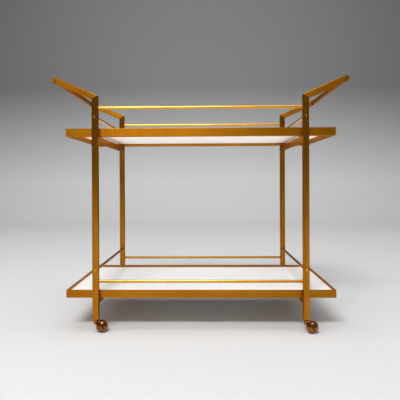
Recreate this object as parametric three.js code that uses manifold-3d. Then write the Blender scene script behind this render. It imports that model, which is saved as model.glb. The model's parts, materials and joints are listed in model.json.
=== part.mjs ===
// Two-tier serving cart: a square-tube frame, two rimmed trays with inset panels, round guard rods,
// a raised push handle at each end and four hooded ball casters.
// Millimetres, +Z up, +X along the trays, -Y the front, origin on the floor under the cart's middle.

import * as THREE from 'three';
import { mergeVertices } from 'three/addons/utils/BufferGeometryUtils.js';
import Module from 'manifold-3d';

const wasm = await Module();
wasm.setup();

// ---------- Driving dimensions ----------

const TUBE = { side: 20, wall: 1.2, corner: 1.6 };        // every square tube
const POST = { x: 351, y: 236, foot: 42 };                // post axes, and the height of their cut ends
const ARM = { elbowZ: 790, rise: THREE.MathUtils.degToRad(23.5), gap: 0.3 };
const GRIP = { x: 484, diameter: 16, wall: 1.5, plug: 15 };
const TRAY = { halfLength: 454, halfWidth: POST.y - TUBE.side / 2, bottoms: { lower: 110.5, upper: 655 } };
const RAIL = { height: 27, width: 27, ledge: 10, lip: 3 };
const PANEL = { thickness: 8, gap: 0.3 };
const ROD = { diameter: 10, bore: 6.3 };
const LONG_ROD_Z = { lower: 168.5, upper: 749 };          // guard rods along the front and the rear
const SIDE_ROD_Z = { lower: 205.5, upper: 717.5 };        // guard rods across the two ends
const SCREW = { head: 10.5, height: 3.3, shank: 6, hole: 6.6, grip: 12, socket: 4.6, socketDepth: 2 };
const CASTER = {
  ball: 20,              // radius of the ball that hood and wheel make together
  trail: 20,             // from the stem's axis to the ball's middle
  turn: 210,             // where the wheel's dome faces, in degrees from the trail
  tilt: 28,              // how far the dome faces down, in degrees
  shell: 2.4,            // wall of the hood
  clearance: 0.6,        // between the dome and the neck beside it
  hoodEdge: -0.5,        // hood's open edge and wheel's rim, measured along the axle from the middle
  wheelEdge: 2.5,
  neck: 8.5,
  neckZ: 33,
  top: 40.2,
  stem: { diameter: 8, top: 66 },
  socket: { diameter: 17, bore: 8.7, flange: 19, flangeZ: 40.5, seatZ: 41.7, top: 70 },
  axle: { diameter: 5, bore: 5.7, back: -19.4, front: 8 },
  hub: { radius: 7, back: -9, boreEnd: 9 },
};
const CORNERS = [
  { name: 'front_left', x: -1, y: -1, rest: -6 },
  { name: 'front_right', x: 1, y: -1, rest: -28 },
  { name: 'rear_left', x: -1, y: 1, rest: 28 },
  { name: 'rear_right', x: 1, y: 1, rest: -55 },
];
const ROUND = 12;          // facets round a rod, screw, bore or tube
const FINE = 18;           // facets round a caster's ball
const REACH = 80;          // a cutter's size, larger than what it cuts
const HALF_TURN = Math.PI;
const QUARTER_TURN = Math.PI / 2;

// ---------- Materials ----------

const metal = (color, roughness) => new THREE.MeshStandardMaterial({ color, roughness, metalness: 1 });
const antiqueGold = metal(0xaa6a12, 0.42);
const polishedBrass = metal(0xe0a828, 0.18);
const copper = metal(0x8a5020, 0.22);
const steel = metal(0x9a9a98, 0.35);
const whitePanel = new THREE.MeshStandardMaterial({ color: 0xf4f2ef, roughness: 0.12, metalness: 0 });
const nylon = new THREE.MeshStandardMaterial({ color: 0x2a2622, roughness: 0.6, metalness: 0 });

// ---------- Solids: joining and cutting ----------

function solid(geometry) {
  const bare = geometry.index ? geometry.clone() : geometry;
  bare.deleteAttribute('normal');
  bare.deleteAttribute('uv');
  const merged = mergeVertices(bare, 1e-4);
  return new wasm.Manifold(new wasm.Mesh({
    numProp: 3,
    vertProperties: new Float32Array(merged.attributes.position.array),
    triVerts: new Uint32Array(merged.index.array),
  }));
}

function geometryOf(manifold) {
  const mesh = manifold.getMesh();
  const geometry = new THREE.BufferGeometry();
  geometry.setAttribute('position', new THREE.BufferAttribute(mesh.vertProperties, 3));
  geometry.setIndex(new THREE.BufferAttribute(mesh.triVerts, 1));
  return geometry;
}

// A square with rounded corners, as a shape or as the hole of one.
function roundedSquare(half, radius, Path = THREE.Shape) {
  const flat = half - radius;
  const outline = new Path();
  outline.moveTo(-flat, -half);
  outline.lineTo(flat, -half);
  outline.absarc(flat, -flat, radius, -QUARTER_TURN, 0);
  outline.lineTo(half, flat);
  outline.absarc(flat, flat, radius, 0, QUARTER_TURN);
  outline.lineTo(-flat, half);
  outline.absarc(-flat, flat, radius, QUARTER_TURN, HALF_TURN);
  outline.lineTo(-half, -flat);
  outline.absarc(-flat, -flat, radius, HALF_TURN, HALF_TURN + QUARTER_TURN);
  return outline;
}

// A square tube standing on the XY plane.
function squareTube(length) {
  const half = TUBE.side / 2;
  const section = roundedSquare(half, TUBE.corner);
  section.holes.push(roundedSquare(half - TUBE.wall, TUBE.corner - TUBE.wall, THREE.Path));
  return new THREE.ExtrudeGeometry(section, { depth: length, bevelEnabled: false, curveSegments: 2 });
}

// A rod along Y, centred on the origin, with a bore right through.
function boredRod(length, diameter, bore) {
  const [end, outer, inner] = [length / 2, diameter / 2, bore / 2];
  const profile = [[inner, -end], [outer, -end], [outer, end], [inner, end], [inner, -end]];
  return lathe(profile, ROUND);
}

function lathe(profile, segments) {
  return new THREE.LatheGeometry(profile.map(([r, y]) => new THREE.Vector2(r, y)), segments);
}

function cylinderAlong(axis, diameter, length) {
  const geometry = new THREE.CylinderGeometry(diameter / 2, diameter / 2, length, ROUND);
  if (axis === 'x') geometry.rotateZ(QUARTER_TURN);
  if (axis === 'z') geometry.rotateX(QUARTER_TURN);
  return geometry;
}

// ---------- The cart ----------

const cart = new THREE.Group();

function piece(name, geometry, material, parent = cart) {
  const mesh = new THREE.Mesh(geometry, material);
  mesh.name = name;
  parent.add(mesh);
  return mesh;
}

// ---------- Posts and handle arms ----------
// Both are made about a post's own axis, with +x pointing out of the cart.

const elbow = { x: -TUBE.side / 2, z: ARM.elbowZ };       // the inner top corner, where the mitre starts
const along = (distance, drop) => ({
  x: elbow.x + distance * Math.cos(ARM.rise) + drop * Math.sin(ARM.rise),
  z: elbow.z + distance * Math.sin(ARM.rise) - drop * Math.cos(ARM.rise),
});
const gripDistance = (GRIP.x - POST.x - along(0, TUBE.side / 2).x) / Math.cos(ARM.rise);
const gripCentre = along(gripDistance, TUBE.side / 2);

// All the room on one side of the mitre plane: side +1 is the arm's, -1 the post's.
function mitreCutter(side) {
  const cutter = new THREE.BoxGeometry(REACH, REACH, REACH);
  cutter.translate(side * (REACH - ARM.gap) / 2, 0, 0);
  cutter.rotateY(-(QUARTER_TURN + ARM.rise) / 2);
  cutter.translate(elbow.x, 0, elbow.z);
  return solid(cutter);
}

function postGeometry() {
  const tube = squareTube(ARM.elbowZ - POST.foot);
  tube.translate(0, 0, POST.foot);
  let post = solid(tube).subtract(mitreCutter(1));
  for (const z of Object.values(SIDE_ROD_Z)) {
    post = post.subtract(solid(cylinderAlong('y', SCREW.hole, REACH).translate(0, 0, z)));
  }
  for (const z of Object.values(LONG_ROD_Z)) {
    post = post.subtract(solid(cylinderAlong('x', SCREW.hole, REACH).translate(0, 0, z)));
  }
  return geometryOf(post);
}

// The arm seen from the front: straight edges, and a round end about the grip's axis.
function armOutline(radius, back, front) {
  const start = along(back, TUBE.side / 2 - radius);
  const lowStart = along(back, TUBE.side / 2 + radius);
  const end = along(front, TUBE.side / 2);
  const outline = new THREE.Shape();
  outline.moveTo(start.x, start.z);
  outline.lineTo(lowStart.x, lowStart.z);
  outline.absarc(end.x, end.z, radius, ARM.rise - QUARTER_TURN, ARM.rise + QUARTER_TURN);
  outline.closePath();
  return outline;
}

function armPrism(radius, back, front, width) {
  const prism = new THREE.ExtrudeGeometry(armOutline(radius, back, front),
    { depth: width, bevelEnabled: false, curveSegments: 8 });
  prism.translate(0, 0, -width / 2);
  return prism.rotateX(QUARTER_TURN);
}

function armGeometry() {
  const half = TUBE.side / 2;
  const hollow = 2 * (half - TUBE.wall);
  const screwHole = cylinderAlong('y', SCREW.hole, REACH).translate(gripCentre.x, 0, gripCentre.z);
  const arm = solid(armPrism(half, -half, gripDistance, TUBE.side))
    .subtract(solid(armPrism(half - TUBE.wall, -TUBE.side, gripDistance, hollow)))
    .subtract(mitreCutter(-1))
    .subtract(solid(screwHole));
  return geometryOf(arm);
}

// ---------- Screws ----------
// A button-head screw on +Y: its head stands on y = 0 and its shank reaches back.

function screwGeometry(length) {
  const { head, height, shank, socket, socketDepth } = SCREW;
  return lathe([
    [0, -length], [shank / 2, -length], [shank / 2, 0], [head / 2, 0],
    [head / 2 - 0.9, height * 0.65], [socket / 2, height], [socket / 2, height - socketDepth],
    [0, height - socketDepth],
  ], ROUND);
}

function rodScrew(name, x, z, face) {
  const screw = piece(name, screwGeometry(TUBE.side + SCREW.grip), polishedBrass);
  screw.rotation.z = face > 0 ? 0 : HALF_TURN;
  screw.position.set(x, face * (POST.y + TUBE.side / 2), z);
}

// ---------- Frame ----------

const innerX = POST.x - TUBE.side / 2;
const innerY = POST.y - TUBE.side / 2;
const sides = [{ name: 'left', x: -1 }, { name: 'right', x: 1 }];
const faces = [{ name: 'front', y: -1 }, { name: 'rear', y: 1 }];
const tiers = ['lower', 'upper'];

for (const corner of CORNERS) {
  const stand = new THREE.Group();
  stand.position.set(corner.x * POST.x, corner.y * POST.y, 0);
  stand.rotation.z = corner.x > 0 ? 0 : HALF_TURN;
  cart.add(stand);
  piece(`post_${corner.name}`, postGeometry(), antiqueGold, stand);
  piece(`handle_arm_${corner.name}`, armGeometry(), antiqueGold, stand);
}

for (const side of sides) {
  const end = innerY;
  const [outer, hollow, bore] = [GRIP.diameter / 2, GRIP.diameter / 2 - GRIP.wall, ROD.bore / 2];
  const plugEnd = end - GRIP.plug;
  const grip = piece(`handle_grip_${side.name}`, lathe([
    [bore, -end], [outer, -end], [outer, end], [bore, end], [bore, plugEnd],
    [hollow, plugEnd], [hollow, -plugEnd], [bore, -plugEnd], [bore, -end],
  ], ROUND), antiqueGold);
  grip.position.set(side.x * GRIP.x, 0, gripCentre.z);
  for (const face of faces) {
    rodScrew(`screw_grip_${face.name}_${side.name}`, side.x * GRIP.x, gripCentre.z, face.y);
  }
  for (const tier of tiers) {
    const rod = piece(`guard_rod_${tier}_${side.name}`, boredRod(2 * innerY, ROD.diameter, ROD.bore),
      polishedBrass);
    rod.position.set(side.x * POST.x, 0, SIDE_ROD_Z[tier]);
    for (const face of faces) {
      rodScrew(`screw_${tier}_${face.name}_${side.name}`, side.x * POST.x, SIDE_ROD_Z[tier], face.y);
    }
    const bar = squareTube(2 * innerY);
    bar.translate(0, 0, -innerY);
    bar.rotateX(QUARTER_TURN);
    piece(`cross_bar_${tier}_${side.name}`, bar, antiqueGold)
      .position.set(side.x * POST.x, 0, TRAY.bottoms[tier] - TUBE.side / 2);
  }
}

for (const face of faces) {
  for (const tier of tiers) {
    const rod = boredRod(2 * innerX, ROD.diameter, ROD.bore);
    rod.rotateZ(QUARTER_TURN);
    piece(`guard_rod_${tier}_${face.name}`, rod, polishedBrass)
      .position.set(0, face.y * POST.y, LONG_ROD_Z[tier]);
  }
}

// ---------- Trays ----------
// A rail runs along X with its outer face at y = 0 and the tray on its +y side; the ends are mitred.

function railGeometry(halfLength) {
  const { height, width, ledge, lip } = RAIL;
  const section = new THREE.Shape([[0, 0], [width, 0], [width, ledge], [lip, ledge], [lip, height],
    [0, height]].map(([depth, up]) => new THREE.Vector2(depth, up)));
  const rail = new THREE.ExtrudeGeometry(section, { depth: 2 * halfLength, bevelEnabled: false });
  const points = rail.attributes.position;
  for (let i = 0; i < points.count; i += 1) {
    const [depth, up, run] = [points.getX(i), points.getY(i), points.getZ(i)];
    points.setXYZ(i, Math.sign(run - halfLength) * (halfLength - depth), depth, up);
  }
  return rail;
}

for (const tier of tiers) {
  const bottom = TRAY.bottoms[tier];
  const { halfLength, halfWidth } = TRAY;
  for (const face of faces) {
    const rail = piece(`tray_rail_${tier}_${face.name}`, railGeometry(halfLength), antiqueGold);
    rail.position.set(0, face.y * halfWidth, bottom);
    rail.rotation.z = face.y < 0 ? 0 : HALF_TURN;
  }
  for (const side of sides) {
    const rail = piece(`tray_rail_${tier}_${side.name}`, railGeometry(halfWidth), antiqueGold);
    rail.position.set(side.x * halfLength, 0, bottom);
    rail.rotation.z = side.x * QUARTER_TURN;
  }
  const inset = RAIL.lip + PANEL.gap;
  piece(`tray_panel_${tier}`, new THREE.BoxGeometry(
    2 * (halfLength - inset), 2 * (halfWidth - inset), PANEL.thickness), whitePanel)
    .position.z = bottom + RAIL.ledge + PANEL.thickness / 2;
}

// ---------- Casters ----------
// Made about the stem's axis with the trail along +x. The ball is a hood and a domed wheel, which meet
// in a tilted plane, and the axle is that plane's normal.

const ballCentre = new THREE.Vector3(CASTER.trail, 0, CASTER.ball);
const axleDirection = new THREE.Vector3(1, 0, 0)
  .applyAxisAngle(new THREE.Vector3(0, 1, 0), THREE.MathUtils.degToRad(CASTER.tilt))
  .applyAxisAngle(new THREE.Vector3(0, 0, 1), THREE.MathUtils.degToRad(CASTER.turn));

// Local y is the axle and local z points as straight down as it can.
const down = new THREE.Vector3(0, 0, -1).projectOnPlane(axleDirection).normalize();
const across = new THREE.Vector3().crossVectors(axleDirection, down);
const onAxle = new THREE.Matrix4().makeBasis(across, axleDirection, down).setPosition(ballCentre);

function hoodGeometry() {
  const { ball, shell, clearance, hoodEdge, neck, neckZ, top, stem, axle } = CASTER;
  const sphere = (radius) => solid(new THREE.SphereGeometry(radius, FINE, FINE / 2).applyMatrix4(onAxle));
  const domeSide = new THREE.BoxGeometry(REACH, REACH, REACH);
  domeSide.translate(0, hoodEdge + REACH / 2, 0).applyMatrix4(onAxle);
  const above = new THREE.BoxGeometry(REACH, REACH, REACH).translate(0, 0, top + REACH / 2);
  const upright = new THREE.CapsuleGeometry(neck, neck, 3, ROUND);
  upright.rotateX(QUARTER_TURN).translate(0, 0, neckZ + neck / 2);
  const bridge = new THREE.CapsuleGeometry(neck, ball / 2, 3, ROUND);
  bridge.rotateZ(-QUARTER_TURN).translate(ball / 4 + 1, 2, neckZ - 1);
  const stemPin = cylinderAlong('z', stem.diameter, stem.top - neckZ).translate(0, 0, (stem.top + neckZ) / 2);
  const axleHole = cylinderAlong('y', axle.bore, REACH).applyMatrix4(onAxle);
  const hood = sphere(ball).add(solid(upright)).add(solid(bridge)).subtract(solid(above))
    .subtract(sphere(ball - shell))
    .subtract(sphere(ball + clearance).intersect(solid(domeSide)))
    .add(solid(stemPin))
    .subtract(solid(axleHole));
  return geometryOf(hood);
}

function wheelGeometry() {
  const { ball, wheelEdge, hub, axle } = CASTER;
  const contact = 90 - CASTER.tilt;          // the dome's latitude that meets the floor
  const rim = THREE.MathUtils.radToDeg(Math.acos(wheelEdge / ball));
  const dome = [rim, 73, contact, 46, 31, 15].map((degrees) => {
    const angle = THREE.MathUtils.degToRad(degrees);
    return [ball * Math.sin(angle), ball * Math.cos(angle)];
  });
  return lathe([
    [0, hub.boreEnd], [axle.bore / 2, hub.boreEnd], [axle.bore / 2, hub.back], [hub.radius, hub.back],
    [hub.radius, wheelEdge], ...dome, [0, ball],
  ], FINE).applyMatrix4(onAxle);
}

function axleGeometry() {
  const { diameter, back, front } = CASTER.axle;
  const pin = new THREE.CylinderGeometry(diameter / 2, diameter / 2, front - back, ROUND);
  return pin.translate(0, (front + back) / 2, 0).applyMatrix4(onAxle);
}

function socketGeometry() {
  const { diameter, bore, flange, flangeZ, seatZ, top } = CASTER.socket;
  const [outer, inner, rim] = [diameter / 2, bore / 2, flange / 2];
  const profile = [[inner, flangeZ], [rim, flangeZ], [rim, seatZ], [outer, seatZ], [outer, top],
    [inner, top], [inner, flangeZ]];
  return lathe(profile, ROUND).rotateX(QUARTER_TURN);
}

for (const corner of CORNERS) {
  const caster = new THREE.Group();
  caster.position.set(corner.x * POST.x, corner.y * POST.y, 0);
  caster.rotation.z = THREE.MathUtils.degToRad(corner.rest);
  cart.add(caster);
  piece(`caster_socket_${corner.name}`, socketGeometry(), nylon, caster);
  piece(`caster_hood_${corner.name}`, hoodGeometry(), copper, caster);
  piece(`caster_axle_${corner.name}`, axleGeometry(), steel, caster);
  piece(`caster_wheel_${corner.name}`, wheelGeometry(), copper, caster);
}

export default cart;
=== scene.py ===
"""The looks of a two-tier serving cart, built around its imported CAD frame.

Metres, +Z up, +X along the trays, -Y the front. Sizes and places come from the frame's nodes and
joints. The frame's facetted solids are replaced by pieces with rounded corners, seams and smooth curves.
"""

import json
import math

import bmesh
import bpy
import numpy as np
from mathutils import Matrix, Vector


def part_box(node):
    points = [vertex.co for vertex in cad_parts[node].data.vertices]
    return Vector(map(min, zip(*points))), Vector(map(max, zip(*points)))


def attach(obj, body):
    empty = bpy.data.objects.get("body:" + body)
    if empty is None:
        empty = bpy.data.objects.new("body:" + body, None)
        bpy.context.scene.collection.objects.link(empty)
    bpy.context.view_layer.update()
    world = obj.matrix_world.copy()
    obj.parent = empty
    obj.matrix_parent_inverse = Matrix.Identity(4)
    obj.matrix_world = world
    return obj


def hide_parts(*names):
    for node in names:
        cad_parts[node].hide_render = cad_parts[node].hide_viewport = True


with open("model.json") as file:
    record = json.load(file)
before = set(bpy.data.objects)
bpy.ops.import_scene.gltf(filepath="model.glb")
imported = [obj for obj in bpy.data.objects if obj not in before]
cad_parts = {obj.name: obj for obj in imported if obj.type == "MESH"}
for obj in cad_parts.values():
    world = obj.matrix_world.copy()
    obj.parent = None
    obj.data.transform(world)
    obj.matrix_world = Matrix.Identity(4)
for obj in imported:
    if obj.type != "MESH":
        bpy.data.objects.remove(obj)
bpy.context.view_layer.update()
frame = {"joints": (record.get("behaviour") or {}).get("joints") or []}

MM = 0.001
TAU = 2 * math.pi

# ---------- Driving sizes that the frame's boxes don't give ----------

ARM_RISE = math.radians(23.5)    # a handle arm above the horizontal
TUBE_CORNER = 2.0 * MM           # outer corner radius of the square tubes
TUBE_WALL = 1.2 * MM
SEAM = 0.35 * MM                 # how far a cut end is eased at a weld seam
WELD_LINE = 0.1 * MM             # how far a post and its arm each stand back from their mitre
RAIL_MITRE = {"gap": 0.12 * MM, "eased": 0.2 * MM}
RAIL = {"width": 27 * MM, "ledge": 10 * MM, "lip": 3 * MM, "edge": 0.8 * MM}
PANEL_EDGE = 0.9 * MM
TOUCHING = 0.01 * MM             # points nearer a plane than this lie in it
ROD_THREAD = {"bore": 6.3 * MM, "depth": 15 * MM, "chamfer": 0.6 * MM}
SCREW = {"head": 10.5 * MM, "height": 3.3 * MM, "shank": 6 * MM, "hex": 4 * MM, "hex_depth": 2.1 * MM}
FLUSH_SCREW = {"head": 9 * MM, "height": 0.8 * MM, "shank": 6 * MM, "hex": 4 * MM, "hex_depth": 0.6 * MM}
BAR_SCREW = {"head": 9 * MM, "height": 2.6 * MM, "shank": 5 * MM, "hex": 3 * MM, "hex_depth": 1.6 * MM}
ROD_BITE = 11 * MM               # how far a screw reaches past a post into its rod
BAR_BITE = 6 * MM                # how far a screw reaches past a cross bar into its tray
BAR_SCREW_PLACE = 0.62           # along half a cross bar, from its middle
SCREW_TURN = 0.7                 # radians from one screw's socket to the next one's
CASTER = {
    "ball": 20.0,                # millimetres, in the caster's own frame
    "shell": 2.4,
    "clearance": 0.6,            # between the wheel's dome and the neck beside it
    "hood_edge": -0.5,           # the hood's open edge, along the axle from the ball's middle
    "wheel_edge": 2.5,           # the wheel's rim, along the axle
    "neck": 8.5,
    "neck_z": 33.0,
    "top": 40.2,
    "stem": 4.0,
    "stem_top": 66.0,
    "contact": 62.0,             # latitude of the tread, in degrees from the axle
}

CORNERS = [
    (f"{depth}_{side}", sx, sy)
    for depth, sy in (("front", -1), ("rear", 1))
    for side, sx in (("left", -1), ("right", 1))
]
SIDES = (("left", -1), ("right", 1))
FACES = (("front", -1), ("rear", 1))
TIERS = ("lower", "upper")


# ---------- Node materials ----------

class Nodes:
    """A small helper that adds and links shader nodes in one material."""

    def __init__(self, name):
        self.material = bpy.data.materials.new(name)
        self.material.use_nodes = True
        self.tree = self.material.node_tree
        self.shader = self.tree.nodes["Principled BSDF"]
        self.coordinates = self.tree.nodes.new("ShaderNodeTexCoord").outputs["Object"]

    def add(self, kind, inputs=None, **settings):
        node = self.tree.nodes.new(kind)
        for key, value in settings.items():
            setattr(node, key, value)
        for key, value in (inputs or {}).items():
            self.feed(node.inputs[key], value)
        return node

    def feed(self, socket, value):
        if isinstance(value, bpy.types.NodeSocket):
            self.tree.links.new(value, socket)
        else:
            socket.default_value = value

    def stretched(self, scale):
        mapping = self.add("ShaderNodeMapping", {"Vector": self.coordinates, "Scale": scale})
        return mapping.outputs["Vector"]

    def noise(self, scale, stretch=(1, 1, 1), detail=3.0, roughness=0.55):
        inputs = {"Vector": self.stretched(stretch), "Scale": scale, "Detail": detail}
        node = self.add("ShaderNodeTexNoise", {**inputs, "Roughness": roughness})
        return node.outputs["Fac"]

    def streaks(self, way, scale, stretch, detail=3.0):
        """Noise drawn out along a direction in the XZ plane, or along Y."""
        along = Vector(GRAIN[way])
        turn = (0.0, math.atan2(along.z, along.x), 0.0)
        pull = (1.0, stretch, 1.0) if along.y else (stretch, 1.0, 1.0)
        level = self.add("ShaderNodeMapping", {"Vector": self.coordinates, "Rotation": turn})
        drawn = self.add("ShaderNodeMapping", {"Vector": level.outputs["Vector"], "Scale": pull})
        inputs = {"Vector": drawn.outputs["Vector"], "Scale": scale, "Detail": detail}
        return self.add("ShaderNodeTexNoise", inputs).outputs["Fac"]

    def brush(self, way, amount):
        """Stretches highlights across the brushing."""
        along = self.add("ShaderNodeCombineXYZ", dict(zip("XYZ", GRAIN[way])))
        self.feed(self.shader.inputs["Tangent"], along.outputs["Vector"])
        self.set(Anisotropic=amount, Anisotropic_Rotation=0.25)

    def ramp(self, value, low, high, from_low=0.3, from_high=0.7):
        inputs = {"Value": value, "From Min": from_low, "From Max": from_high}
        node = self.add("ShaderNodeMapRange", {**inputs, "To Min": low, "To Max": high})
        return node.outputs["Result"]

    def math(self, operation, first, second):
        node = self.add("ShaderNodeMath", {0: first, 1: second}, operation=operation)
        return node.outputs["Value"]

    def mix(self, factor, first, second):
        node = self.add("ShaderNodeMix", data_type="RGBA")
        self.feed(node.inputs[0], factor)
        self.feed(node.inputs[6], first)
        self.feed(node.inputs[7], second)
        return node.outputs[2]

    def edges(self, radius):
        """1 at an edge as sharp as the tubes' corners, 0 on a flat."""
        flat_enough, sharp_enough = 0.02, 0.2
        rounded = self.add("ShaderNodeBevel", {"Radius": radius}, samples=6).outputs["Normal"]
        flat = self.add("ShaderNodeNewGeometry").outputs["Normal"]
        inputs = {0: rounded, 1: flat}
        same = self.add("ShaderNodeVectorMath", inputs, operation="DOT_PRODUCT").outputs["Value"]
        return self.ramp(self.math("SUBTRACT", 1.0, same), 0.0, 1.0, flat_enough, sharp_enough)

    def crevices(self, distance):
        """1 in the open, falling towards 0 in a corner between pieces."""
        node = self.add("ShaderNodeAmbientOcclusion", {"Distance": distance}, samples=6)
        return node.outputs["AO"]

    def bumps(self, *layers):
        """Each layer is (height, strength, distance); the first lies deepest."""
        normal = None
        for height, strength, distance in layers:
            inputs = {"Height": height, "Strength": strength, "Distance": distance}
            if normal is not None:
                inputs["Normal"] = normal
            normal = self.add("ShaderNodeBump", inputs).outputs["Normal"]
        return normal

    def set(self, **inputs):
        for key, value in inputs.items():
            self.feed(self.shader.inputs[key.replace("_", " ")], value)
        return self.material


def colour(red, green, blue):
    return (red, green, blue, 1.0)


def gold_material(name, along, amount):
    """Satin antique-gold lacquer over steel, brushed along a direction by an amount."""
    n = Nodes(name)
    drift = n.noise(6.0, detail=4.0)
    bands = n.streaks(along, 90.0, 0.02, detail=2.0)
    lines = n.streaks(along, 1500.0, 0.006, detail=3.0)
    specks = n.noise(2600.0, detail=1.0)
    tone = n.mix(n.ramp(drift, 0.0, 1.0), colour(0.44, 0.151, 0.0028), colour(0.53, 0.215, 0.0080))
    tone = n.mix(n.ramp(bands, 0.0, 0.6), tone, colour(0.38, 0.125, 0.0026))
    tone = n.mix(n.ramp(lines, 0.0, 0.25), tone, colour(0.57, 0.24, 0.010))
    worn = n.math("MULTIPLY", n.edges(1.1 * MM), n.ramp(n.noise(120.0, detail=4.0), 0.15, 0.9))
    tone = n.mix(worn, tone, colour(0.82, 0.46, 0.10))
    # Painted shade: dark brown in the corners between pieces, from ambient occlusion.
    painted_shade = n.ramp(n.crevices(6 * MM), 0.7, 0.0, 0.25, 0.8)
    tone = n.mix(painted_shade, tone, colour(0.17, 0.052, 0.003))
    roughness = n.math("ADD", n.ramp(bands, 0.33, 0.43), n.ramp(specks, -0.03, 0.04))
    roughness = n.math("SUBTRACT", roughness, n.math("MULTIPLY", worn, 0.08))
    normal = n.bumps((bands, 0.06, 0.3 * MM), (lines, 0.10, 0.04 * MM), (specks, 0.05, 0.04 * MM))
    n.brush(along, amount)
    return n.set(Base_Color=tone, Metallic=1.0, Roughness=roughness, Normal=normal, Coat_Weight=0.10,
                 Coat_Roughness=0.20, Coat_IOR=1.45, Specular_Tint=colour(0.85, 0.54, 0.22))


def brass_material(name, along):
    """Polished, lacquered yellow brass with soft tarnish, fine polishing lines and finger smudges."""
    n = Nodes(name)
    tarnish = n.noise(18.0, detail=4.0)
    smudges = n.noise(34.0, detail=2.0, roughness=0.4)
    lines = n.streaks(along, 2400.0, 0.01, detail=2.0)
    clean, tarnished = colour(0.74, 0.345, 0.008), colour(0.63, 0.26, 0.005)
    tone = n.mix(n.ramp(tarnish, 0.0, 0.8, 0.35, 0.75), clean, tarnished)
    tone = n.mix(n.math("MULTIPLY", n.edges(0.6 * MM), 0.6), tone, colour(0.95, 0.66, 0.18))
    # Painted shade: darker brown where a rod meets the posts, from ambient occlusion.
    tone = n.mix(n.ramp(n.crevices(4 * MM), 0.6, 0.0, 0.2, 0.7), tone, colour(0.25, 0.085, 0.004))
    roughness = n.math("ADD", n.ramp(smudges, 0.28, 0.34), n.ramp(lines, -0.01, 0.02))
    normal = n.bumps((lines, 0.015, 0.02 * MM))
    n.brush(along, 0.3)
    return n.set(Base_Color=tone, Metallic=1.0, Roughness=roughness, Normal=normal, Coat_Weight=0.7,
                 Coat_Roughness=0.14, Coat_IOR=1.65, Specular_Tint=colour(0.90, 0.60, 0.25))


def screw_material(name, light, dark):
    """The screws' brass, burnished on the crown, with painted shade in the socket and round the head's
    foot.
    """
    n = Nodes(name)
    patina = n.noise(220.0, detail=4.0)
    lines = n.noise(1800.0, detail=2.0)
    tone = n.mix(n.ramp(patina, 0.0, 1.0), dark, light)
    worn = n.math("MULTIPLY", n.edges(0.4 * MM), n.ramp(patina, 0.3, 1.0))
    tone = n.mix(worn, tone, colour(0.86, 0.56, 0.14))
    # Painted shade: near black in the socket and where the head meets its seat, from ambient occlusion.
    tone = n.mix(n.ramp(n.crevices(2.5 * MM), 0.9, 0.0, 0.2, 0.8), tone, colour(0.06, 0.020, 0.002))
    roughness = n.math("ADD", n.ramp(patina, 0.24, 0.34), n.ramp(lines, -0.03, 0.03))
    normal = n.bumps((lines, 0.06, 0.02 * MM))
    return n.set(Base_Color=tone, Metallic=1.0, Roughness=roughness, Normal=normal,
                 Specular_Tint=colour(0.85, 0.54, 0.22))


def white_material(name, light, shade):
    """Satin lacquer over board: nearly even, with faint orange peel and softened edges."""
    n = Nodes(name)
    cloud = n.noise(5.0, detail=3.0)
    peel = n.noise(420.0, detail=2.0)
    wipes = n.streaks("x", 14.0, 0.25, detail=5.0)
    tone = n.mix(n.ramp(cloud, 0.0, 1.0), shade, light)
    tone = n.mix(n.math("MULTIPLY", n.edges(0.8 * MM), 0.35), tone, colour(0.74, 0.70, 0.64))
    # Painted shade: darker beige where the panel meets its rails, from ambient occlusion.
    tone = n.mix(n.ramp(n.crevices(5 * MM), 0.35, 0.0, 0.1, 0.6), tone, colour(0.62, 0.54, 0.42))
    roughness = n.math("ADD", n.ramp(wipes, 0.36, 0.46), n.ramp(peel, -0.02, 0.03))
    normal = n.bumps((peel, 0.03, 0.01 * MM))
    return n.set(Base_Color=tone, Roughness=roughness, Normal=normal, IOR=1.45)


def copper_material(name):
    """Glossy copper plate that has darkened to brown, brighter where it rubs."""
    n = Nodes(name)
    patina = n.noise(85.0, detail=5.0, roughness=0.62)
    blooms = n.noise(260.0, detail=3.0)
    scratches = n.streaks("y", 420.0, 0.12, detail=4.0)
    copper_tone, brown = colour(0.40, 0.132, 0.026), colour(0.20, 0.056, 0.009)
    tone = n.mix(n.ramp(patina, 0.0, 1.0, 0.32, 0.68), copper_tone, brown)
    tone = n.mix(n.ramp(blooms, 0.0, 0.3), tone, colour(0.53, 0.215, 0.050))
    worn = n.math("MULTIPLY", n.edges(0.7 * MM), n.ramp(blooms, 0.3, 1.0))
    tone = n.mix(worn, tone, colour(0.82, 0.47, 0.18))
    # Painted shade: near black in the hollows of the hood and wheel, from ambient occlusion.
    tone = n.mix(n.ramp(n.crevices(3 * MM), 0.75, 0.0, 0.15, 0.7), tone, colour(0.035, 0.013, 0.005))
    roughness = n.math("ADD", n.ramp(patina, 0.09, 0.19), n.ramp(scratches, -0.02, 0.05))
    normal = n.bumps((patina, 0.03, 0.2 * MM), (scratches, 0.04, 0.04 * MM))
    return n.set(Base_Color=tone, Metallic=1.0, Roughness=roughness, Normal=normal)


def steel_material(name):
    """Turned steel with lathe marks and a little dark grease."""
    n = Nodes(name)
    grease = n.noise(300.0, detail=4.0)
    turning = n.noise(1500.0, detail=2.0)
    tone = n.mix(n.ramp(grease, 0.0, 1.0, 0.4, 0.7), colour(0.56, 0.55, 0.53), colour(0.24, 0.22, 0.19))
    tone = n.mix(n.math("MULTIPLY", n.edges(0.4 * MM), 0.7), tone, colour(0.78, 0.77, 0.75))
    roughness = n.math("ADD", n.ramp(grease, 0.24, 0.42), n.ramp(turning, -0.03, 0.06))
    normal = n.bumps((turning, 0.12, 0.04 * MM))
    return n.set(Base_Color=tone, Metallic=1.0, Roughness=roughness, Normal=normal)


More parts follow.
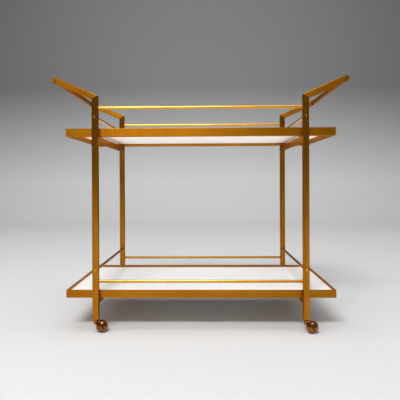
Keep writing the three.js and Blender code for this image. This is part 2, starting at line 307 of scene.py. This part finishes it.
def nylon_material(name):
    """Dark moulded nylon with a fine spark-eroded texture, scuffed at its edges."""
    n = Nodes(name)
    texture = n.noise(2200.0, detail=2.0)
    scuffs = n.noise(140.0, detail=4.0)
    fresh, scuffed = colour(0.020, 0.017, 0.014), colour(0.060, 0.052, 0.045)
    tone = n.mix(n.ramp(scuffs, 0.0, 1.0, 0.5, 0.75), fresh, scuffed)
    tone = n.mix(n.math("MULTIPLY", n.edges(0.5 * MM), 0.6), tone, colour(0.13, 0.115, 0.10))
    roughness = n.ramp(scuffs, 0.50, 0.68)
    return n.set(Base_Color=tone, Roughness=roughness, Normal=n.bumps((texture, 0.25, 0.05 * MM)))


GRAIN = {
    "x": (1.0, 0.0, 0.0),
    "y": (0.0, 1.0, 0.0),
    "z": (0.0, 0.0, 1.0),
    "right": (math.cos(ARM_RISE), 0.0, math.sin(ARM_RISE)),
    "left": (-math.cos(ARM_RISE), 0.0, math.sin(ARM_RISE)),
}
BRUSHING = {"x": 0.75, "y": 0.3, "z": 0.75, "right": 0.5, "left": 0.5}
gold = {way: gold_material(f"antique_gold_{way}", way, BRUSHING[way]) for way in GRAIN}
brass = {way: brass_material(f"polished_brass_{way}", way) for way in "xy"}
# Lit and shaded copies of one screw brass: painted light makes the lower post screws bright and the others
# dark.
shaded_screw = screw_material("shaded_brass_screw", colour(0.36, 0.140, 0.007), colour(0.26, 0.092, 0.004))
lit_screw = screw_material("lit_brass_screw", colour(0.92, 0.56, 0.020), colour(0.80, 0.43, 0.012))
white = white_material("white_lacquer", colour(0.90, 0.895, 0.89), colour(0.87, 0.865, 0.855))
cream = white_material("cream_underside", colour(0.93, 0.88, 0.82), colour(0.89, 0.835, 0.77))
copper = copper_material("dark_copper")
steel = steel_material("turned_steel")
nylon = nylon_material("moulded_nylon")


# ---------- Pieces ----------

def piece(name, mesh_source, material, body, stands_for=(), sharp=35.0, placed=None):
    """Turns a bmesh or a mesh into a named piece that rides on a body. Its place is in its mesh, so that
    its materials read the cart's own coordinates."""
    if isinstance(mesh_source, bmesh.types.BMesh):
        mesh = bpy.data.meshes.new(name)
        bmesh.ops.recalc_face_normals(mesh_source, faces=mesh_source.faces[:])
        mesh_source.to_mesh(mesh)
        mesh_source.free()
        mesh.shade_smooth()
        mesh.set_sharp_from_angle(angle=math.radians(sharp))
    else:
        mesh = mesh_source
    if placed is not None:
        mesh.transform(placed)
    mesh.materials.clear()
    mesh.materials.append(material)
    made = bpy.data.objects.new(name, mesh)
    bpy.context.scene.collection.objects.link(made)
    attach(made, body)
    if stands_for:
        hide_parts(*stands_for)
    return made


def keep_flats_flat(made):
    """Shades each wide face flat, so that only the rounded corners turn the light."""
    modifier = made.modifiers.new("flats", "WEIGHTED_NORMAL")
    modifier.keep_sharp = True
    modifier.weight = 100


def middle(node):
    low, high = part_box(node)
    return (low + high) / 2


# ---------- Mesh building ----------

def rounded_square(half, radius, steps=5):
    """Points of a square with rounded corners, counter-clockwise."""
    points = []
    for quarter in range(4):
        angle = quarter * TAU / 4
        centre = Vector((half - radius, half - radius)).to_3d()
        centre.rotate(Matrix.Rotation(angle, 3, "Z"))
        for step in range(steps + 1):
            turn = angle + step / steps * TAU / 4
            points.append((centre.x + radius * math.cos(turn), centre.y + radius * math.sin(turn)))
    return points


def skin_rings(bm, rings, closed=False, capped=True):
    """Joins rings of points, each with as many points, into a skin with flat end caps."""
    made = [[bm.verts.new(point) for point in ring] for ring in rings]
    pairs = list(zip(made, made[1:])) + ([(made[-1], made[0])] if closed else [])
    for lower, upper in pairs:
        for i in range(len(lower)):
            j = (i + 1) % len(lower)
            bm.faces.new((lower[i], lower[j], upper[j], upper[i]))
    if capped and not closed:
        bm.faces.new(list(reversed(made[0])))
        bm.faces.new(made[-1])
    return made


def square_tube(bottom, top, half):
    """A hollow square tube along Z. bottom and top give each end's height at a point (x, y)."""
    bore = rounded_square(half - TUBE_WALL, TUBE_CORNER - TUBE_WALL)
    full = rounded_square(half, TUBE_CORNER)
    eased = rounded_square(half - SEAM, TUBE_CORNER - SEAM)
    bm = bmesh.new()
    skin_rings(bm, [
        [(x, y, bottom(x, y)) for x, y in eased],
        [(x, y, bottom(x, y) + SEAM) for x, y in full],
        [(x, y, top(x, y) - SEAM) for x, y in full],
        [(x, y, top(x, y)) for x, y in eased],
        [(x, y, top(x, y)) for x, y in bore],
        [(x, y, bottom(x, y)) for x, y in bore],
    ], closed=True)
    return bm


def ease_rims(bm, faces, offset):
    """Chamfers the edges round some faces."""
    rims = list(dict.fromkeys(e for f in faces for e in f.edges))
    bmesh.ops.bevel(bm, geom=rims, offset=offset, segments=1, profile=0.5, affect="EDGES")


def turned(profile, segments):
    """A solid of revolution about Z. Each profile point is (radius, height); a radius may be a function
    of the angle. A profile that starts or ends at radius 0 closes there in a point."""
    bm = bmesh.new()
    rows = []
    for radius, height in profile:
        if radius == 0:
            rows.append([bm.verts.new((0, 0, height))])
            continue
        row = []
        for i in range(segments):
            angle = i / segments * TAU
            r = radius(angle) if callable(radius) else radius
            row.append(bm.verts.new((r * math.cos(angle), r * math.sin(angle), height)))
        rows.append(row)
    closed = len(rows[0]) > 1 and len(rows[-1]) > 1
    pairs = list(zip(rows, rows[1:])) + ([(rows[-1], rows[0])] if closed else [])
    for low, high in pairs:
        for i in range(segments):
            j = (i + 1) % segments
            corners = [low[i % len(low)], low[j % len(low)], high[j % len(high)], high[i % len(high)]]
            bm.faces.new(list(dict.fromkeys(corners)))
    return bm


def hexagon(across_flats):
    """The radius of a hexagonal hole at an angle."""
    def radius(angle):
        within = (angle + TAU / 12) % (TAU / 6) - TAU / 12
        return across_flats / 2 / math.cos(within)
    return radius


def axis_frame(origin, direction):
    """A placement whose Z points along direction."""
    turn = Vector(direction).to_track_quat("Z", "Y").to_matrix().to_4x4()
    return Matrix.Translation(origin) @ turn


def threaded_bar(half_length, radius, ease, segments):
    """A round bar along Z with a blind threaded hole in each end and eased rims."""
    bore = ROD_THREAD["bore"] / 2
    hole_end = half_length - ROD_THREAD["depth"]
    return turned([
        (0, -hole_end), (bore, -hole_end), (bore, -half_length), (radius - ease, -half_length),
        (radius, ease - half_length), (radius, half_length - ease), (radius - ease, half_length),
        (bore, half_length), (bore, hole_end), (0, hole_end),
    ], segments)


# ---------- Frame: posts, arms, grips and cross bars ----------

half_tube = (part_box("post_front_left")[1].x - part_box("post_front_left")[0].x) / 2
grip_centre = middle("handle_grip_right")
post_axis = middle("post_front_right").xy

# The arm's top edge runs through the grip's axis, half a tube higher, down to the post's inner face.
grip_out = grip_centre.x - post_axis.x
elbow_x = -half_tube
tip_x = grip_out - half_tube * math.sin(ARM_RISE)
tip_z = grip_centre.z + half_tube * math.cos(ARM_RISE)
elbow_z = tip_z - (tip_x - elbow_x) * math.tan(ARM_RISE)
mitre_fall = math.tan(math.radians(45) - ARM_RISE / 2)


def mitre_height(x):
    """Height of the elbow's mitre plane, x outwards from the post's axis."""
    return elbow_z - (x - elbow_x) * mitre_fall


def corner_placement(sx, sy):
    """A post's own frame: x points out of the cart."""
    turn = Matrix.Identity(4) if sx > 0 else Matrix.Rotation(math.pi, 4, "Z")
    return Matrix.Translation((sx * post_axis.x, sy * abs(post_axis.y), 0)) @ turn


def build_post(name, sx, sy):
    """A square tube, open at its foot for the caster's socket and mitred at the top."""
    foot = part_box(f"post_{name}")[0].z
    bm = square_tube(lambda x, y: foot, lambda x, y: mitre_height(x) - WELD_LINE, half_tube)
    made = piece(f"tube_post_{name}", bm, gold["z"], "root", [f"post_{name}"],
                 placed=corner_placement(sx, sy))
    keep_flats_flat(made)


def arm_outline():
    """Corners of the arm seen from the front, from the mitre's top round the tip to the crotch."""
    points = [(elbow_x, mitre_height(elbow_x)), (tip_x, tip_z)]
    steps = 20
    for step in range(1, steps):
        angle = ARM_RISE + math.radians(90 - 180 * step / steps)
        out, up = half_tube * math.cos(angle), half_tube * math.sin(angle)
        points.append((grip_out + out, grip_centre.z + up))
    under_x = grip_out + half_tube * math.sin(ARM_RISE)
    under_z = grip_centre.z - half_tube * math.cos(ARM_RISE)
    return points + [(under_x, under_z), (half_tube, mitre_height(half_tube))]


def build_arm(name, sx, sy):
    """A closed arm with rounded long edges and a mitred seat on the post."""
    outline = arm_outline()
    bm = bmesh.new()
    front = [bm.verts.new((x, -half_tube, z)) for x, z in outline]
    rear = [bm.verts.new((x, half_tube, z)) for x, z in outline]
    bm.faces.new(front)
    bm.faces.new(list(reversed(rear)))
    for i in range(len(outline)):
        j = (i + 1) % len(outline)
        bm.faces.new((front[i], rear[i], rear[j], front[j]))
    mitre = {front[0], front[-1], rear[0], rear[-1]}
    rims = [e for e in bm.edges if len({v.co.y for v in e.verts}) == 1 and not set(e.verts) <= mitre]
    bmesh.ops.bevel(bm, geom=rims, offset=TUBE_CORNER, segments=4, profile=0.5, affect="EDGES")
    slant = math.radians(45) + ARM_RISE / 2
    normal = Vector((math.cos(slant), 0, math.sin(slant)))
    seat = Vector((elbow_x, 0, mitre_height(elbow_x)))
    cut = [f for f in bm.faces if all(abs((v.co - seat).dot(normal)) < TOUCHING for v in f.verts)]
    ease_rims(bm, cut, SEAM)
    for vertex in bm.verts:
        if abs((vertex.co - seat).dot(normal)) < TOUCHING:
            vertex.co += normal * WELD_LINE
    material = gold["right" if sx > 0 else "left"]
    made = piece(f"tube_arm_{name}", bm, material, "root", [f"handle_arm_{name}"],
                 placed=corner_placement(sx, sy))
    keep_flats_flat(made)


def build_grip(side):
    low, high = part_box(f"handle_grip_{side}")
    half_length, radius = (high.y - low.y) / 2, (high.z - low.z) / 2
    bm = threaded_bar(half_length, radius, SEAM, 64)
    piece(f"grip_bar_{side}", bm, gold["y"], "root", [f"handle_grip_{side}"],
          placed=axis_frame(middle(f"handle_grip_{side}"), (0, 1, 0)))


def build_cross_bar(tier, side):
    """A square tube under a tray, from post to post."""
    node = f"cross_bar_{tier}_{side}"
    low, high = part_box(node)
    reach = (high.y - low.y) / 2
    bm = square_tube(lambda x, y: -reach, lambda x, y: reach, half_tube)
    made = piece(f"tube_{node}", bm, gold["y"], "root", [node],
                 placed=axis_frame(middle(node), (0, 1, 0)))
    keep_flats_flat(made)


# ---------- Guard rods and screws ----------

def build_rod(tier, place, direction):
    node = f"guard_rod_{tier}_{place}"
    low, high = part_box(node)
    axis = "x" if direction.x else "y"
    half_length, radius = (high - low).dot(direction) / 2, (high.z - low.z) / 2
    bm = threaded_bar(half_length, radius, ROD_THREAD["chamfer"], 48)
    piece(f"rod_{tier}_{place}", bm, brass[axis], "root", [node],
          placed=axis_frame(middle(node), direction))


def button_screw(size, length):
    """A button-head screw on Z: its head stands on z = 0 and its shank reaches down."""
    head, height, shank = size["head"] / 2, size["height"], size["shank"] / 2
    hex_hole, floor = hexagon(size["hex"]), size["height"] - size["hex_depth"]
    flat_crown = size["hex"] / 2 * 1.28
    skirt = 0.55 * MM
    chamfer = 0.5 * MM
    profile = [(0, -length), (shank - chamfer, -length), (shank, chamfer - length), (shank, 0),
               (head - 0.25 * MM, 0), (head, 0.2 * MM)]
    steps = 7
    for step in range(steps + 1):
        radius = head + (flat_crown - head) * step / steps
        lift = math.sqrt(max(0.0, 1 - ((radius - flat_crown) / (head - flat_crown)) ** 2))
        profile.append((radius, skirt + (height - skirt) * lift))
    profile += [(hex_hole, height - 0.25 * MM), (hex_hole, floor), (0, floor - chamfer)]
    return turned(profile, 36)


def build_screws():
    """The screws of the CAD, and those that only the looks have: for the long rods and the trays."""
    through_post = 2 * half_tube + ROD_BITE
    through_bar = 2 * half_tube + BAR_BITE
    screws = []
    for face, sy in FACES:
        outer_y = sy * (abs(post_axis.y) + half_tube)
        for side, sx in SIDES:
            outer_x = sx * (post_axis.x + half_tube)
            for kind in ("lower", "upper", "grip"):
                node = f"screw_{kind}_{face}_{side}"
                centre = middle(node)
                # Painted light: the lower screws take the lit copy of the brass, the others the shaded
                # copy.
                plate = lit_screw if kind == "lower" else shaded_screw
                screws.append((f"button_{node}", (centre.x, outer_y, centre.z), (0, sy, 0),
                               SCREW, through_post, plate, [node]))
            for tier in TIERS:
                rod = middle(f"guard_rod_{tier}_{face}")
                screws.append((f"button_rod_{tier}_{face}_{side}", (outer_x, rod.y, rod.z), (sx, 0, 0),
                               FLUSH_SCREW, through_post, gold["z"], []))
                bar = f"cross_bar_{tier}_{side}"
                bar_low, bar_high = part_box(bar)
                under_bar = (middle(bar).x, bar_high.y * sy * BAR_SCREW_PLACE, bar_low.z)
                screws.append((f"button_bar_{tier}_{face}_{side}", under_bar, (0, 0, -1),
                               BAR_SCREW, through_bar, shaded_screw, []))
    for count, (name, seat, outwards, size, length, material, nodes) in enumerate(screws, 1):
        spin = Matrix.Rotation(count * SCREW_TURN, 4, "Z")
        piece(name, button_screw(size, length), material, "root", nodes,
              sharp=28.0, placed=axis_frame(seat, outwards) @ spin)


# ---------- Trays ----------

def build_rail(tier, place, outwards):
    """An L-shaped rail with mitred ends. Its own frame: x along, y into the tray, z up."""
    node = f"tray_rail_{tier}_{place}"
    low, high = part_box(node)
    size = high - low
    along_x = abs(outwards.y) > 0
    half_length, height = (size.x if along_x else size.y) / 2, size.z
    width, ledge, lip = RAIL["width"], RAIL["ledge"], RAIL["lip"]
    section = [(0, 0), (width, 0), (width, ledge), (lip, ledge), (lip, height), (0, height)]
    gap = RAIL_MITRE["gap"]
    bm = bmesh.new()
    rings = [[(sign * (half_length - gap - y), y, z) for y, z in section] for sign in (-1, 1)]
    skin_rings(bm, rings)
    long_edges = [e for e in bm.edges if abs(e.verts[0].co.x - e.verts[1].co.x) > half_length]
    bmesh.ops.bevel(bm, geom=long_edges, offset=RAIL["edge"], segments=3, profile=0.5, affect="EDGES")

    def on_mitre(face):
        return all(abs(abs(v.co.x) + v.co.y + gap - half_length) < TOUCHING for v in face.verts)

    ease_rims(bm, [f for f in bm.faces if on_mitre(f)], RAIL_MITRE["eased"])
    inwards = -outwards
    turn = Matrix.Rotation(math.atan2(inwards.y, inwards.x) - math.pi / 2, 4, "Z")
    if along_x:
        origin = Vector((middle(node).x, high.y if outwards.y > 0 else low.y, low.z))
    else:
        origin = Vector((high.x if outwards.x > 0 else low.x, 0, low.z))
    made = piece(f"rim_{tier}_{place}", bm, gold["x" if along_x else "y"], "root", [node],
                 placed=Matrix.Translation(origin) @ turn)
    keep_flats_flat(made)


def build_panel(tier):
    """A shelf with eased edges, white above and cream below."""
    node = f"tray_panel_{tier}"
    low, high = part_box(node)
    bm = bmesh.new()
    bmesh.ops.create_cube(bm, size=1.0)
    for vertex in bm.verts:
        vertex.co = Vector([low[i] + (vertex.co[i] + 0.5) * (high[i] - low[i]) for i in range(3)])
    bmesh.ops.bevel(bm, geom=bm.edges[:], offset=PANEL_EDGE, segments=4, profile=0.5, affect="EDGES")
    made = piece(f"shelf_{tier}", bm, white, "root", [node])
    made.data.materials.append(cream)
    for face in made.data.polygons:
        face.material_index = 1 if face.normal.z < -0.9 else 0
    keep_flats_flat(made)


# ---------- Casters ----------
# In millimetres. The hood and the stem lie in a caster's own frame: the stem's axis is Z and the ball
# hangs at +x. The wheel, its core and the axle are turned about the wheel's axle.

def smooth_min(a, b, k):
    blend = np.clip(0.5 + 0.5 * (b - a) / k, 0, 1)
    return b * (1 - blend) + a * blend - k * blend * (1 - blend)


def smooth_max(a, b, k):
    return -smooth_min(-a, -b, k)


def capsule(points, start, end, radius):
    start, end = np.array(start, float), np.array(end, float)
    line = end - start
    share = np.clip((points - start) @ line / (line @ line), 0, 1)
    return np.linalg.norm(points - start - share[..., None] * line, axis=-1) - radius


def hood_distance(points, ball, axle):
    """Signed distance, roughly, to the hood: a ball shell with a cast neck, open on the wheel's side."""
    c = CASTER
    offset = points - ball
    from_ball = np.linalg.norm(offset, axis=-1)
    along = offset @ axle
    off_axle = np.linalg.norm(offset - along[..., None] * axle, axis=-1)
    neck = capsule(points, (0, 0, c["neck_z"]), (0, 0, c["top"] + 12), c["neck"])
    bridge_side, bridge_z = 1.5, c["neck_z"] - 1
    bridge = capsule(points, (1, bridge_side, bridge_z), (11, bridge_side, bridge_z), c["neck"])
    form = smooth_min(from_ball - c["ball"], smooth_min(neck, bridge, 4.0), 3.0)
    form = smooth_max(form, points[..., 2] - c["top"], 0.9)
    form = smooth_max(form, c["ball"] - c["shell"] - from_ball, 0.8)
    boss_radius, boss_inner, boss_outer = 5.5, -12.5, -18.5    # round the axle, inside the shell
    boss = np.maximum(off_axle - boss_radius, np.maximum(along - boss_inner, boss_outer - along))
    form = smooth_min(form, boss, 1.2)
    cut = smooth_max(c["hood_edge"] - along, from_ball - c["ball"] - c["clearance"], 0.6)
    form = smooth_max(form, -cut, 1.0)
    bead_radius, bead_inset, bead_back = 0.95, 0.9, 1.6
    from_bead = np.hypot(off_axle - (c["ball"] - bead_inset), along - c["hood_edge"] + bead_back)
    bead = from_bead - bead_radius
    form = np.where(bead < 3, smooth_min(form, bead, 0.5), form)
    axle_hole = 2.75
    return smooth_max(form, axle_hole - off_axle, 0.5)


def surface_net(distance, low, high, voxel):
    """Meshes where a distance function is zero: a point per crossed cell, a quad per crossed edge."""
    axes = [np.arange(low[i], high[i] + voxel, voxel) for i in range(3)]
    grid = np.stack(np.meshgrid(*axes, indexing="ij"), axis=-1)
    inside = distance(grid) < 0
    shape = np.array(inside.shape) - 1
    corner = np.zeros(tuple(shape), int)
    for dx, dy, dz in np.ndindex(2, 2, 2):
        corner += inside[dx:dx + shape[0], dy:dy + shape[1], dz:dz + shape[2]]
    crossed = (corner > 0) & (corner < 8)
    index = np.full(tuple(shape), -1)
    index[crossed] = np.arange(crossed.sum())
    points = grid[:-1, :-1, :-1][crossed] + voxel / 2
    faces = []
    for axis in range(3):
        b, c = (axis + 1) % 3, (axis + 2) % 3
        step = np.eye(3, dtype=int)
        changed = inside != np.roll(inside, -1, axis=axis)
        cells = np.argwhere(changed)
        cells = cells[(cells[:, axis] < shape[axis]) & (cells[:, b] > 0) & (cells[:, c] > 0)]
        cells = cells[(cells[:, b] < shape[b]) & (cells[:, c] < shape[c])]
        around = [cells, cells - step[b], cells - step[b] - step[c], cells - step[c]]
        quads = np.stack([index[tuple(a.T)] for a in around], axis=1)
        flip = inside[tuple(cells.T)]
        quads[~flip] = quads[~flip][:, ::-1]
        faces.append(quads)
    return points, np.concatenate(faces)


def slope(distance, points, step=0.02):
    """The distance function's unit gradient."""
    gradient = np.zeros_like(points)
    for i in range(3):
        shift = np.zeros(3)
        shift[i] = step
        gradient[:, i] = distance(points + shift) - distance(points - shift)
    size = np.linalg.norm(gradient, axis=1, keepdims=True)
    return gradient / np.maximum(size, 1e-9), size[:, 0] / (2 * step)


def hood_mesh(ball, axle):
    """The hood's mesh, with every point and normal taken from the distance function."""
    def distance(points):
        return hood_distance(points, ball, axle)

    margin, voxel, rounds, furthest = 1.3, 0.62, 5, 0.5
    reach = CASTER["ball"] + margin
    low = np.array([-CASTER["neck"] - margin, -reach, ball[2] - reach])
    high = np.array([ball[0] + reach, reach, CASTER["top"] + margin])
    points, quads = surface_net(distance, low, high, voxel)
    for _ in range(rounds):
        normal, steepness = slope(distance, points)
        pull = distance(points) / np.maximum(steepness, 0.5)
        points = points - np.clip(pull, -furthest, furthest)[:, None] * normal
    normal, _ = slope(distance, points)
    mesh = bpy.data.meshes.new("caster_hood")
    mesh.from_pydata((points * MM).tolist(), [], quads.tolist())
    mesh.shade_smooth()
    mesh.normals_split_custom_set_from_vertices(normal.tolist())
    return mesh


def stem_profile():
    """The stem above the hood, with the ring groove that holds it in its socket."""
    radius, top, foot = CASTER["stem"], CASTER["stem_top"], CASTER["top"] - 4
    return [(r * MM, z * MM) for r, z in (
        (0, foot), (radius, foot), (radius, top - 9), (radius - 0.7, top - 8.4), (radius - 0.7, top - 6.6),
        (radius, top - 6), (radius, top - 1.2), (radius - 1.2, top), (0, top),
    )]


def wheel_profile():
    """The domed wheel: a tread between two grooves, a dimple at the pole, a hollow back round the hub."""
    ball, edge, contact = CASTER["ball"], CASTER["wheel_edge"], CASTER["contact"]

    def on_dome(degrees, inset=0.0):
        angle = math.radians(degrees)
        return ((ball - inset) * math.sin(angle), (ball - inset) * math.cos(angle))

    rim = math.degrees(math.acos(edge / ball))
    half_tread, groove_side = 9.0, 1.3
    points = [(0, 9.0), (2.85, 9.0), (2.85, -9.0), (6.4, -9.0), (7.0, -8.4), (7.0, 3.6), (8.0, 4.6),
              (15.6, 4.6), (16.6, 3.6), (17.2, edge), (19.0, edge)]
    points += [on_dome(rim - 0.4, 0.35), on_dome(rim - 1.6)]
    for last, groove in ((rim - 1.6, contact + half_tread), (contact + 7.8, contact - half_tread)):
        for step in range(1, 6):
            points.append(on_dome(last + (groove + groove_side - last) * step / 5))
        points += [on_dome(groove + 0.8, 0.28), on_dome(groove - 0.8, 0.28), on_dome(groove - groove_side)]
    tread_end, dimple_rim = contact - half_tread - groove_side, 11.5
    for step in range(1, 13):
        points.append(on_dome(tread_end - (tread_end - dimple_rim) * step / 12))
    points += [on_dome(10.6, 0.3), on_dome(7.0, 0.75), (0, ball - 0.95)]
    return [(r * MM, z * MM) for r, z in points]


def core_profile():
    """The wheel's dark nylon core, whose dark colour also stands in as painted shade in the slot between
    hood and wheel: it fills the dome's hollow back and reaches a little into the hood.
    """
    rows = [(7.2, 3.2), (7.2, -3.4), (7.8, -4.0), (12.6, -4.0), (13.4, -3.2), (13.4, -1.0), (15.0, -0.4),
            (15.0, 4.2), (14.4, 4.5), (8.2, 4.5)]
    return [(r * MM, z * MM) for r, z in rows]


def axle_profile():
    """The axle, with a domed head in the hood's pole."""
    tail, front = -CASTER["ball"] + 0.6, 8.0
    rows = [(0, tail), (1.3, tail + 0.15), (2.2, tail + 0.75), (2.5, tail + 1.4), (2.5, front - 0.6),
            (1.9, front), (0, front)]
    return [(r * MM, z * MM) for r, z in rows]


def socket_profile():
    """The nylon socket in a post's foot: a flange, a ribbed body and a tapered nose."""
    rows = [(4.35, 40.5), (9.1, 40.5), (9.5, 40.9), (9.5, 41.7), (8.5, 41.7)]
    for rib in range(5):
        z = 44.0 + rib * 4.6
        rows += [(8.1, z), (8.1, z + 2.2), (8.5, z + 2.9), (8.5, z + 4.2)]
    rows += [(8.1, 68.6), (7.4, 70.0), (4.9, 70.0), (4.35, 69.4)]
    return [(r * MM, z * MM) for r, z in rows]


def local_axle(corner):
    """A caster's rest turn, its ball's middle and its axle direction in its own frame, from the joints."""
    joints = {j["name"]: j for j in frame["joints"]}
    stem = Vector(joints[f"swivel_{corner}"]["pos_m"])
    wheel = joints[f"wheel_spin_{corner}"]
    centre = Vector(wheel["pos_m"])
    turn = math.atan2(centre.y - stem.y, centre.x - stem.x)
    axle = Matrix.Rotation(-turn, 3, "Z") @ Vector(wheel["axis"])
    trail = (centre.xy - stem.xy).length
    return turn, Vector((trail, 0, centre.z)), axle


def build_casters():
    """Four casters from one hood mesh, each turned to its rest angle under its post."""
    _, ball, axle = local_axle(CORNERS[0][0])
    hood = hood_mesh(np.array(ball) / MM, np.array(axle.normalized()))
    on_axle = axis_frame(ball, axle)
    for name, sx, sy in CORNERS:
        turn, _, _ = local_axle(name)
        stem_foot = Matrix.Translation((sx * post_axis.x, sy * abs(post_axis.y), 0))
        stand = stem_foot @ Matrix.Rotation(turn, 4, "Z")
        piece(f"hood_{name}", hood.copy(), copper, f"swivel_{name}",
              [f"caster_hood_{name}"], placed=stand)
        piece(f"stem_{name}", turned(stem_profile(), 40), steel, f"swivel_{name}",
              placed=stand)
        piece(f"axle_pin_{name}", turned(axle_profile(), 32), steel, f"swivel_{name}",
              [f"caster_axle_{name}"], placed=stand @ on_axle)
        piece(f"wheel_{name}", turned(wheel_profile(), 96), copper, f"wheel_{name}",
              [f"caster_wheel_{name}"], placed=stand @ on_axle)
        # Painted shade: the dark core darkens the slot between hood and wheel.
        piece(f"wheel_core_{name}", turned(core_profile(), 72), nylon, f"wheel_{name}",
              placed=stand @ on_axle)
        piece(f"socket_{name}", turned(socket_profile(), 40), nylon, "root",
              [f"caster_socket_{name}"], placed=Matrix.Translation(stand.translation))


# ---------- Studio ----------

def studio_paper():
    """Matt paper, pale on the floor, with painted shade that darkens it towards the top of the wall."""
    n = Nodes("studio_paper")
    tooth = n.noise(60.0, detail=4.0)
    height = n.add("ShaderNodeSeparateXYZ", {"Vector": n.coordinates}).outputs["Z"]
    tone = n.mix(n.ramp(tooth, 0.0, 1.0), colour(0.63, 0.63, 0.63), colour(0.66, 0.66, 0.655))
    # Painted shade: the paper turns dark grey from half a metre up to nearly two metres.
    tone = n.mix(n.ramp(height, 0.0, 1.0, 0.5, 1.9), tone, colour(0.20, 0.20, 0.202))
    return n.set(Base_Color=tone, Roughness=0.75, Normal=n.bumps((tooth, 0.04, 1.0 * MM)))


def sweep(name, run, material, mirrored):
    """A wide sheet of paper through the points (y, z) of run. Metal mirrors it only if mirrored."""
    half_width = 14.0
    bm = bmesh.new()
    rows = [[bm.verts.new((x, y, z)) for x in (-half_width, half_width)] for y, z in run]
    for near, far in zip(rows, rows[1:]):
        bm.faces.new((near[0], near[1], far[1], far[0]))
    mesh = bpy.data.meshes.new(name)
    bm.to_mesh(mesh)
    bm.free()
    mesh.shade_smooth()
    mesh.materials.append(material)
    made = bpy.data.objects.new(name, mesh)
    made.visible_glossy = mirrored
    bpy.context.scene.collection.objects.link(made)


def backdrop():
    """A pale floor, and a wall that curves up from it and leaves the metal a dark room to mirror."""
    front, seam, start, radius, top = -9.0, 2.9, 3.4, 1.6, 5.0
    steps = 16
    wall = [(seam, 0.0), (start, 0.0)]
    for step in range(1, steps + 1):
        angle = step / steps * TAU / 4
        wall.append((start + radius * math.sin(angle), radius * (1 - math.cos(angle))))
    wall.append((start + radius, top))
    paper = studio_paper()
    sweep("floor", [(front, 0.0), (seam, 0.0)], paper, mirrored=True)
    sweep("wall", wall, paper, mirrored=False)


def softbox(name, place, aim, size, power, lights="all", spread=180):
    """A rectangular lamp, out of the camera's sight. It lights all surfaces, only metal's mirroring, or
    only paint and paper."""
    light = bpy.data.lights.new(name, "AREA")
    light.shape = "RECTANGLE"
    light.size, light.size_y = size
    light.energy = power
    light.spread = math.radians(spread)
    lamp = bpy.data.objects.new(name, light)
    lamp.location = place
    lamp.rotation_euler = (Vector(aim) - Vector(place)).to_track_quat("-Z", "Y").to_euler()
    lamp.visible_glossy = lights != "paint"
    lamp.visible_diffuse = lights != "metal"
    lamp.visible_camera = False
    bpy.context.scene.collection.objects.link(lamp)


def sky():
    """A grey room that is darkest at the horizon and pale overhead."""
    world = bpy.data.worlds.new("studio")
    bpy.context.scene.world = world
    world.use_nodes = True
    tree = world.node_tree
    background = tree.nodes["Background"]
    direction = tree.nodes.new("ShaderNodeTexCoord").outputs["Generated"]
    split = tree.nodes.new("ShaderNodeSeparateXYZ")
    tree.links.new(direction, split.inputs["Vector"])
    ramp = tree.nodes.new("ShaderNodeValToRGB")
    ramp.color_ramp.elements[0].position = 0.60
    ramp.color_ramp.elements[0].color = colour(0.14, 0.14, 0.142)
    ramp.color_ramp.elements[1].position = 0.92
    ramp.color_ramp.elements[1].color = colour(0.70, 0.71, 0.73)
    tree.links.new(split.outputs["Z"], ramp.inputs["Fac"])
    tree.links.new(ramp.outputs["Color"], background.inputs["Color"])


def studio():
    """Paper, sky and lamps. A lamp for the metal and one for the paint share the work from the front."""
    backdrop()
    sky()
    softbox("overhead", (0.0, -0.5, 2.7), (0, -0.1, 0.3), (2.0, 0.9), 14)
    softbox("front_left", (-0.4, -1.5, 2.9), (-0.1, 0, 0.66), (1.1, 1.8), 66, "metal")
    softbox("key", (-0.9, -3.4, 3.8), (0, 0.4, 0.1), (2.0, 0.7), 208, "paint")
    softbox("front_floor", (-1.0, -3.8, 1.9), (-1.0, -3.8, 0.0), (2.4, 1.2), 30, "paint", spread=80)
    softbox("fill_left", (-3.0, -0.8, 2.6), (0, 0, 0.3), (1.4, 1.4), 10, "paint")
    softbox("fill_right", (3.0, -0.4, 2.6), (0, 0, 0.3), (1.4, 1.4), 10, "paint")
    softbox("bounce_card", (0.0, -1.3, 0.10), (0, 0.0, 0.66), (2.2, 0.2), 4, "paint", spread=44)
    softbox("wall_wash", (0.0, 2.0, 3.6), (0, 4.8, 0.3), (4.0, 0.6), 56, "paint")
    bpy.context.scene.view_settings.view_transform = "Standard"


def camera():
    """Stands before the cart, a little above half its height, and looks level and a degree to the left."""
    data = bpy.data.cameras.new("camera")
    data.sensor_width = 36.0
    data.lens = 40.5
    data.shift_y = -0.0443
    data.clip_start, data.clip_end = 0.05, 60
    stand = bpy.data.objects.new("camera", data)
    yaw, pitch, roll = math.radians(1.019), math.radians(-0.169), math.radians(-0.233)
    level = Matrix.Rotation(yaw, 4, "Z") @ Matrix.Rotation(math.pi / 2 + pitch, 4, "X")
    turn = level @ Matrix.Rotation(roll, 4, "Z")
    stand.matrix_world = Matrix.Translation((0.02604, -1.73723, 0.50360)) @ turn
    bpy.context.scene.collection.objects.link(stand)
    bpy.context.scene.camera = stand


# ---------- Everything ----------

for corner_name, corner_x, corner_y in CORNERS:
    build_post(corner_name, corner_x, corner_y)
    build_arm(corner_name, corner_x, corner_y)
for side_name, side_x in SIDES:
    build_grip(side_name)
for tier_name in TIERS:
    build_panel(tier_name)
    for side_name, side_x in SIDES:
        build_cross_bar(tier_name, side_name)
        build_rod(tier_name, side_name, Vector((0, 1, 0)))
        build_rail(tier_name, side_name, Vector((side_x, 0, 0)))
    for face_name, face_y in FACES:
        build_rod(tier_name, face_name, Vector((1, 0, 0)))
        build_rail(tier_name, face_name, Vector((0, face_y, 0)))
build_screws()
build_casters()
studio()
camera()
